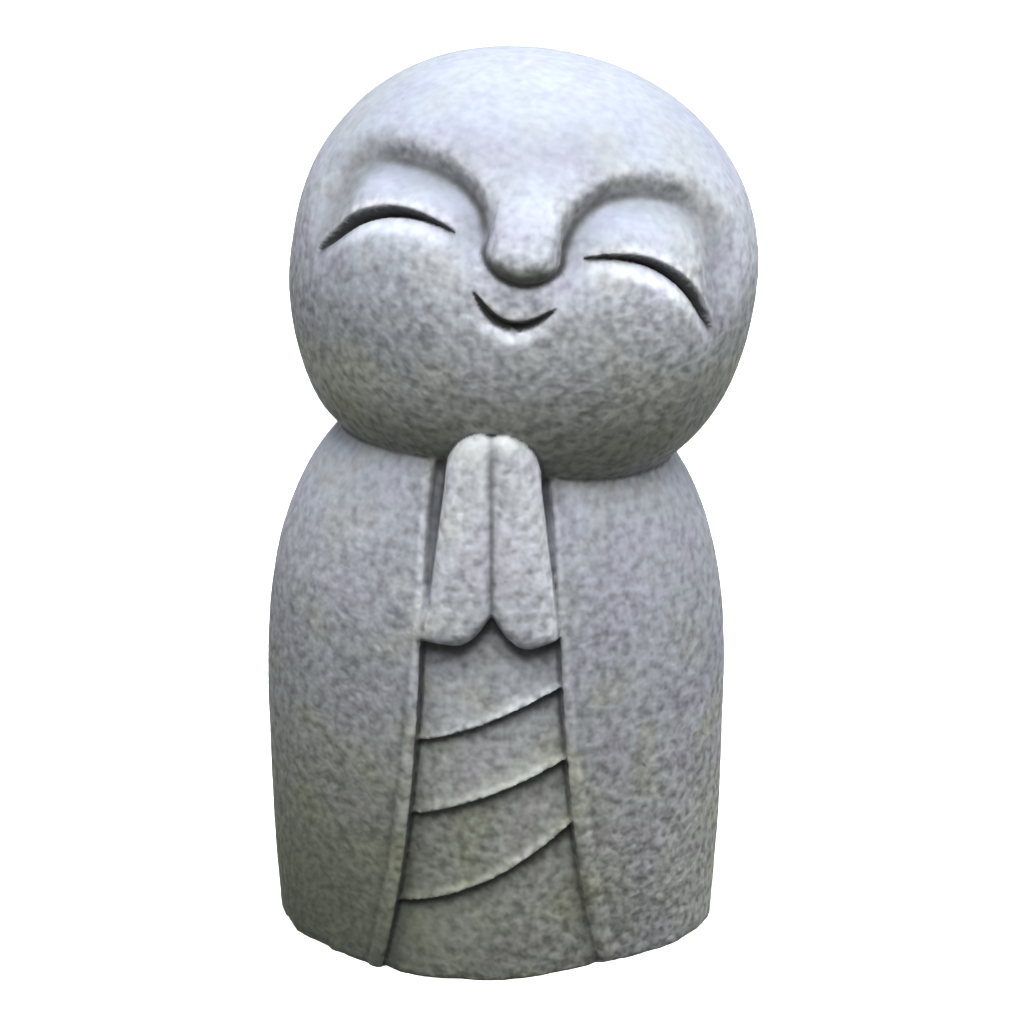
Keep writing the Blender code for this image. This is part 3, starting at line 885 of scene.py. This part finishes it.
def neighbourMean(values, web):
    first, second, count = web
    total = np.empty_like(values)
    for axis in range(values.shape[1]):
        column = values[:, axis]
        total[:, axis] = np.bincount(first, column[second], len(values))
        total[:, axis] += np.bincount(second, column[first], len(values))
    return total / count[:, None]


def soften(points, web, steps, share=1.0):
    for _ in range(steps):
        points = mix(points, neighbourMean(points, web), 0.5 * share)
    return points


def blur(values, web, steps):
    for _ in range(steps):
        values = neighbourMean(values[:, None], web)[:, 0]
    return values


def hollowness(obj, points, web, steps):
    # how far each point lies below (or, if negative, above) the smoothed surface
    normals = readNormals(obj)
    smooth, found = points, []
    for step in range(1, max(steps) + 1):
        smooth = neighbourMean(smooth, web)
        if step in steps:
            found.append(((smooth - points) * normals).sum(1))
    return found


# granite

class Wire:
    # a shader socket that can be used in sums
    def __init__(self, tree, socket):
        self.tree, self.socket = tree, socket

    def node(self, kind, settings=None, sockets=None, output=0):
        made = self.tree.nodes.new("ShaderNode" + kind)
        for name, value in (settings or {}).items():
            if name == "stops":
                while len(made.color_ramp.elements) < len(value):
                    made.color_ramp.elements.new(0.5)
                for element, (place, colour) in zip(made.color_ramp.elements, value):
                    element.position = place
                    element.color = colour
            else:
                setattr(made, name, value)
        for name, value in (sockets or {}).items():
            if isinstance(value, Wire):
                self.tree.links.new(value.socket, made.inputs[name])
            else:
                made.inputs[name].default_value = value
        return Wire(self.tree, made.outputs[output])

    def other(self, name):
        return Wire(self.tree, self.socket.node.outputs[name])

    def maths(self, operation, first, second=0.0, clamp=False):
        return self.node("Math", {"operation": operation, "use_clamp": clamp}, {0: first, 1: second})

    def __add__(self, other):
        return self.maths("ADD", self, other)

    def __radd__(self, other):
        return self.maths("ADD", other, self)

    def __sub__(self, other):
        return self.maths("SUBTRACT", self, other)

    def __rsub__(self, other):
        return self.maths("SUBTRACT", other, self)

    def __mul__(self, other):
        return self.maths("MULTIPLY", self, other)

    def __rmul__(self, other):
        return self.maths("MULTIPLY", other, self)

    def __pow__(self, other):
        return self.maths("POWER", self, other)

    def clamp(self):
        return self.maths("ADD", self, 0.0, clamp=True)

    def spread(self, start, end):
        # 0 at start, 1 at end, smooth between
        return self.node("MapRange", {"interpolation_type": "SMOOTHSTEP"},
                         {"Value": self, "From Min": start, "From Max": end})

    def blend(self, first, second, how="MIX"):
        # self is the share of the second colour
        made = self.tree.nodes.new("ShaderNodeMix")
        made.data_type, made.blend_type = "RGBA", how
        for index, value in ((0, self), (6, first), (7, second)):
            if isinstance(value, Wire):
                self.tree.links.new(value.socket, made.inputs[index])
            else:
                made.inputs[index].default_value = value
        return Wire(self.tree, made.outputs[2])


granite = {
    "light": (0.485, 0.505, 0.550, 1),
    "middle": (0.358, 0.372, 0.402, 1),
    "dark": (0.205, 0.211, 0.226, 1),
    # near-black colour of the painted shade and dirt
    "dirtAndShade": (0.036, 0.036, 0.034, 1),
    # olive of the moss and painted shade low down
    "mossAndShade": (0.114, 0.130, 0.083, 1),
    "grainScale": 322,
    "pitScale": 290,
    "fleckScale": 261,
    "mottleScale": 95,
    "hueScale": 57,
    "patchScale": 26,
    "roughness": 0.92,
    "shine": 0.3,
    "bump": 0.45,
    "bumpDistance": 0.0010,
    "leftwards": (0.045, -0.065),  # from and to, across
    "hueShare": (0.6, 0.35),  # low down and high up
    "mossAndShadeFrom": 0.105,
    "baseDirtAndShade": (0.040, 0.004, 0.22),  # from and to, in height, and its share
}

# each tint: its colour, and from where to where it comes in: across, in height, towards the sky or in hue
tints = {
    "violet": ((1.04, 0.95, 1.05, 1), {"hue": [(0.50, 0.72)]}),
    "ochre": ((1.05, 1.01, 0.84, 1), {"hue": [(0.48, 0.28)]}),
    # painted bluish cast of sky light on surfaces facing up
    "bleached": ((0.905, 0.950, 1.03, 1), {"skyward": [(0.15, 0.90)]}),
    # painted olive shade on the head's surfaces that face down, a little less on the left
    "paintedUnderShade": ((0.61, 0.62, 0.47, 1), {"skyward": [(0.32, -0.62)], "height": [(0.155, 0.185)]}),
    # painted olive shade on the robe's left side below the shoulders
    "paintedLeftShade": ((0.61, 0.62, 0.47, 1), {"across": [(-0.020, -0.055)], "height": [(0.150, 0.120)]}),
    # painted shade on the left cheek
    "cheek": ((0.74, 0.75, 0.76, 1), {"across": [(-0.006, -0.034), (-0.074, -0.046)],
                                      "height": [(0.200, 0.216), (0.254, 0.236)]}),
    # painted light on the lids, most on the right
    "paintedLidLight": ((1.20, 1.20, 1.22, 1), {"height": [(0.218, 0.238), (0.278, 0.260)]}),
    "jawLeft": ((1.22, 1.21, 1.11, 1), {"across": [(-0.022, -0.044)],
                                        "height": [(0.183, 0.193), (0.222, 0.206)]}),
    # painted light on the right cheek
    "paintedRightCheekLight": ((1.20, 1.20, 1.22, 1), {"across": [(0.034, 0.062)],
                                           "height": [(0.206, 0.220), (0.252, 0.236)]}),
    # painted light on the left shoulder and chest
    "shoulder": ((1.20, 1.20, 1.22, 1), {"across": [(0.045, -0.065)],
                                         "height": [(0.115, 0.138), (0.182, 0.166)]}),
    "forehead": ((0.86, 0.84, 0.83, 1), {"across": [(-0.024, -0.008), (0.046, 0.030)],
                                         "height": [(0.262, 0.274), (0.287, 0.276)]}),
    "lowRight": ((1.0, 0.98, 0.84, 1), {"across": [(0.040, 0.072)], "height": [(0.110, 0.040)]}),
    "low": ((0.86, 0.85, 0.69, 1), {"across": [(0.068, 0.030)], "height": [(0.125, 0.030)]}),
    # lighter where worn, with painted highlights on the crests below the eyes and mouth and on the lips
    "rubbedAndHighlight": ((1.46, 1.45, 1.40, 1), {}),
}


def makeGranite():
    material = bpy.data.materials.new("stone")
    material.use_nodes = True
    tree = material.node_tree
    shader = tree.nodes["Principled BSDF"]
    start = Wire(tree, None)
    place = start.node("TexCoord", output="Object")
    grime = start.node("Attribute", {"attribute_name": "grime"}, output="Fac")
    worn = start.node("Attribute", {"attribute_name": "worn"}, output="Fac")
    skyward = start.node("Attribute", {"attribute_name": "skyward"}, output="Fac")
    apart = start.node("SeparateXYZ", sockets={0: place})
    across, height = apart.other("X"), apart.other("Z")
    lefthand = across.spread(*granite["leftwards"])

    def noise(scale, detail, output=0, **more):
        sockets = {"Vector": place, "Scale": granite[scale], "Detail": detail, **more}
        return start.node("TexNoise", sockets=sockets, output=output)

    def spots(scale, spread, channel):
        # round spots, each with its own strength
        cells = start.node("TexVoronoi", sockets={"Vector": place, "Scale": granite[scale]}, output="Distance")
        strength = start.node("SeparateColor", sockets={0: cells.other("Color")}, output=channel)
        return cells.spread(*spread), strength

    # picked grain: soft lumps with small pits and a few light grains
    grain = noise("grainScale", 1.0, Roughness=0.4)
    pit, strength = spots("pitScale", (0.55, 0.10), 0)
    pit = pit * strength
    fleck, strength = spots("fleckScale", (0.45, 0.10), 1)
    fleck = fleck * strength**3
    mottle = noise("mottleScale", 1.0)
    patch = noise("patchScale", 3.0)
    hue = start.node("SeparateColor", sockets={0: noise("hueScale", 0.0, "Color")})

    # the grain's contrast and its bump are lower where the surface faces the sky, and stronger low down
    rough = mix(1.15, 0.22, skyward.spread(-0.30, 0.85)) * mix(1.4, 1.0, height.spread(0.03, 0.10))
    speck = ((grain - 0.5) * 1.7 - pit * 0.08 + fleck * 0.42 - 0.02) * rough + (mottle - 0.5) * 0.24 + 0.5
    stops = [(0.0, granite["dark"]), (0.5, granite["middle"]), (1.0, granite["light"])]
    colour = start.node("ValToRGB", {"stops": stops}, {"Fac": speck.clamp()})

    measures = {"across": across, "height": height, "skyward": skyward, "hue": hue}
    hueShare = mix(*granite["hueShare"], height.spread(0.06, 0.20))
    shares = {
        "violet": hueShare,
        "ochre": hueShare,
        "paintedUnderShade": mix(0.98, 0.84, lefthand),
        "paintedLeftShade": 0.18,
        "paintedLidLight": mix(0.75, 1.0, across.spread(-0.01, 0.05)),
        "paintedRightCheekLight": 0.8,
        "shoulder": 0.6,
        "forehead": 0.9,
        "rubbedAndHighlight": worn * (0.8 + 0.4 * mottle),
    }
    for name, (tint, where) in tints.items():
        share = shares.get(name, 1.0)
        for measure, spreads in where.items():
            for spread in spreads:
                share = measures[measure].spread(*spread) * share
        colour = share.blend(colour, tint, "MULTIPLY")

    # olive and darker towards the bottom, most on the left: partly moss, partly painted shade
    mossAndShadeLow = height.spread(granite["mossAndShadeFrom"], 0.0) * (0.06 + 0.84 * lefthand) * (0.55 + 0.7 * patch)
    colour = mossAndShadeLow.clamp().blend(colour, granite["mossAndShade"])
    # darker still low down on the left: partly dirt, partly painted shade
    baseDirtAndShade = height.spread(*granite["baseDirtAndShade"][:2]) * lefthand * granite["baseDirtAndShade"][2]
    # near-black painted shade, with some dirt, blended in by the mesh's attribute
    grime = (grime + baseDirtAndShade).clamp()
    colour = grime.blend(colour, granite["dirtAndShade"])
    tree.links.new(colour.socket, shader.inputs["Base Color"])
    shader.inputs["Roughness"].default_value = granite["roughness"]
    shader.inputs["Specular IOR Level"].default_value = granite["shine"]

    relief = {"Strength": granite["bump"], "Distance": granite["bumpDistance"]}
    relief["Height"] = (grain - pit * 0.25) * rough
    bump = start.node("Bump", sockets=relief, output="Normal")
    tree.links.new(bump.socket, shader.inputs["Normal"])
    return material


statue = makeStatue()
statue.data.materials.clear()
statue.data.materials.append(makeGranite())
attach(statue, "root")
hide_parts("statue")
print("stone finished")


# studio

studio = {
    "paper": (0.80, 0.80, 0.80, 1),
    "paperGlow": 1.15,
    "floorSize": 12,
    "wallRadius": 5.8,
    "wallHeight": 6,
    "wallSunk": 0.1,
    "sky": (0.80, 0.88, 1.0, 1),
    "ground": (0.20, 0.19, 0.15, 1),
    "skyStrength": 0.06,
    "camera": {"lens": 100.4, "shift": (0.0156, -0.0149), "up": radians(18), "distance": 0.95, "aim": 0.15},
    # where each light stands: degrees to the right of the front, degrees up, metres from its aim
    "lights": {
        "key": {"from": (0, 52, 0.52), "aim": 0.21, "energy": 4.9, "size": 0.45, "colour": (0.95, 0.97, 1.0)},
        "right": {"from": (90, 30, 1.8), "aim": 0.15, "energy": 21, "size": 1.2, "colour": (0.95, 0.98, 1.0)},
        "left": {"from": (-90, 30, 1.8), "aim": 0.15, "energy": 7, "size": 1.2, "colour": (0.95, 0.98, 1.0)},
        "back": {"from": (180, 50, 1.8), "aim": 0.15, "energy": 28, "size": 1.2, "colour": (1.0, 0.98, 1.0)},
        "front": {"from": (-20, 12, 1.8), "aim": 0.15, "energy": 3, "size": 1.2, "colour": (1.0, 0.98, 0.9)},
    },
}


def makeLight(name, settings):
    data = bpy.data.lights.new(name, "AREA")
    data.energy, data.size, data.color = settings["energy"], settings["size"], settings["colour"]
    obj = bpy.data.objects.new(name, data)
    bpy.context.scene.collection.objects.link(obj)
    side, up, distance = settings["from"]
    side, up = radians(side), radians(up)
    away = Vector((sin(side) * cos(up), -cos(side) * cos(up), sin(up)))
    obj.location = Vector((0, 0, settings["aim"])) + distance * away
    obj.rotation_euler = (-away).to_track_quat("-Z", "Y").to_euler()
    obj.visible_camera = False


def makePaper():
    material = bpy.data.materials.new("floorPaper")
    material.use_nodes = True
    shader = material.node_tree.nodes["Principled BSDF"]
    shader.inputs["Base Color"].default_value = studio["paper"]
    shader.inputs["Roughness"].default_value = 0.9
    shader.inputs["Emission Color"].default_value = studio["paper"]
    shader.inputs["Emission Strength"].default_value = studio["paperGlow"]
    return material


def makeStudio():
    paper = makePaper()
    bpy.ops.object.select_all(action="DESELECT")
    bpy.ops.mesh.primitive_plane_add(size=studio["floorSize"], location=(0, 0, low.z - 0.0001))
    floor = bpy.context.object
    floor.name = "floor"
    floor.data.materials.append(paper)
    floor.visible_diffuse = False  # the stone is lit from above, with little light from below

    # a pale wall stands all round the floor, behind the lights, and only shows behind the statue
    bpy.ops.object.select_all(action="DESELECT")
    bpy.ops.mesh.primitive_cylinder_add(vertices=96, radius=studio["wallRadius"], depth=studio["wallHeight"],
                                        end_fill_type="NOTHING",
                                        location=(0, 0, low.z + studio["wallHeight"] / 2 - studio["wallSunk"]))
    wall = bpy.context.object
    wall.name = "wall"
    wall.data.materials.append(paper)
    wall.visible_diffuse = wall.visible_glossy = wall.visible_shadow = False

    world = bpy.data.worlds.new("sky")
    bpy.context.scene.world = world
    world.use_nodes = True
    background = world.node_tree.nodes["Background"]
    start = Wire(world.node_tree, None)
    up = start.node("SeparateXYZ", sockets={0: start.node("TexCoord", output="Generated")}, output="Z")
    colour = up.spread(-0.15, 0.15).blend(studio["ground"], studio["sky"])
    world.node_tree.links.new(colour.socket, background.inputs["Color"])
    background.inputs["Strength"].default_value = studio["skyStrength"]
    for name, settings in studio["lights"].items():
        makeLight(name, settings)
    bpy.context.scene.view_settings.view_transform = "Standard"


def makeCamera():
    settings = studio["camera"]
    data = bpy.data.cameras.new("camera")
    data.sensor_width, data.lens = 36, settings["lens"]
    data.shift_x, data.shift_y = settings["shift"]
    camera = bpy.data.objects.new("camera", data)
    bpy.context.scene.collection.objects.link(camera)
    up, distance = settings["up"], settings["distance"]
    camera.location = (0, -distance * cos(up), settings["aim"] + distance * sin(up))
    camera.rotation_euler = (pi / 2 - up, 0, 0)
    bpy.context.scene.camera = camera


makeStudio()
makeCamera()
print("studio ready")
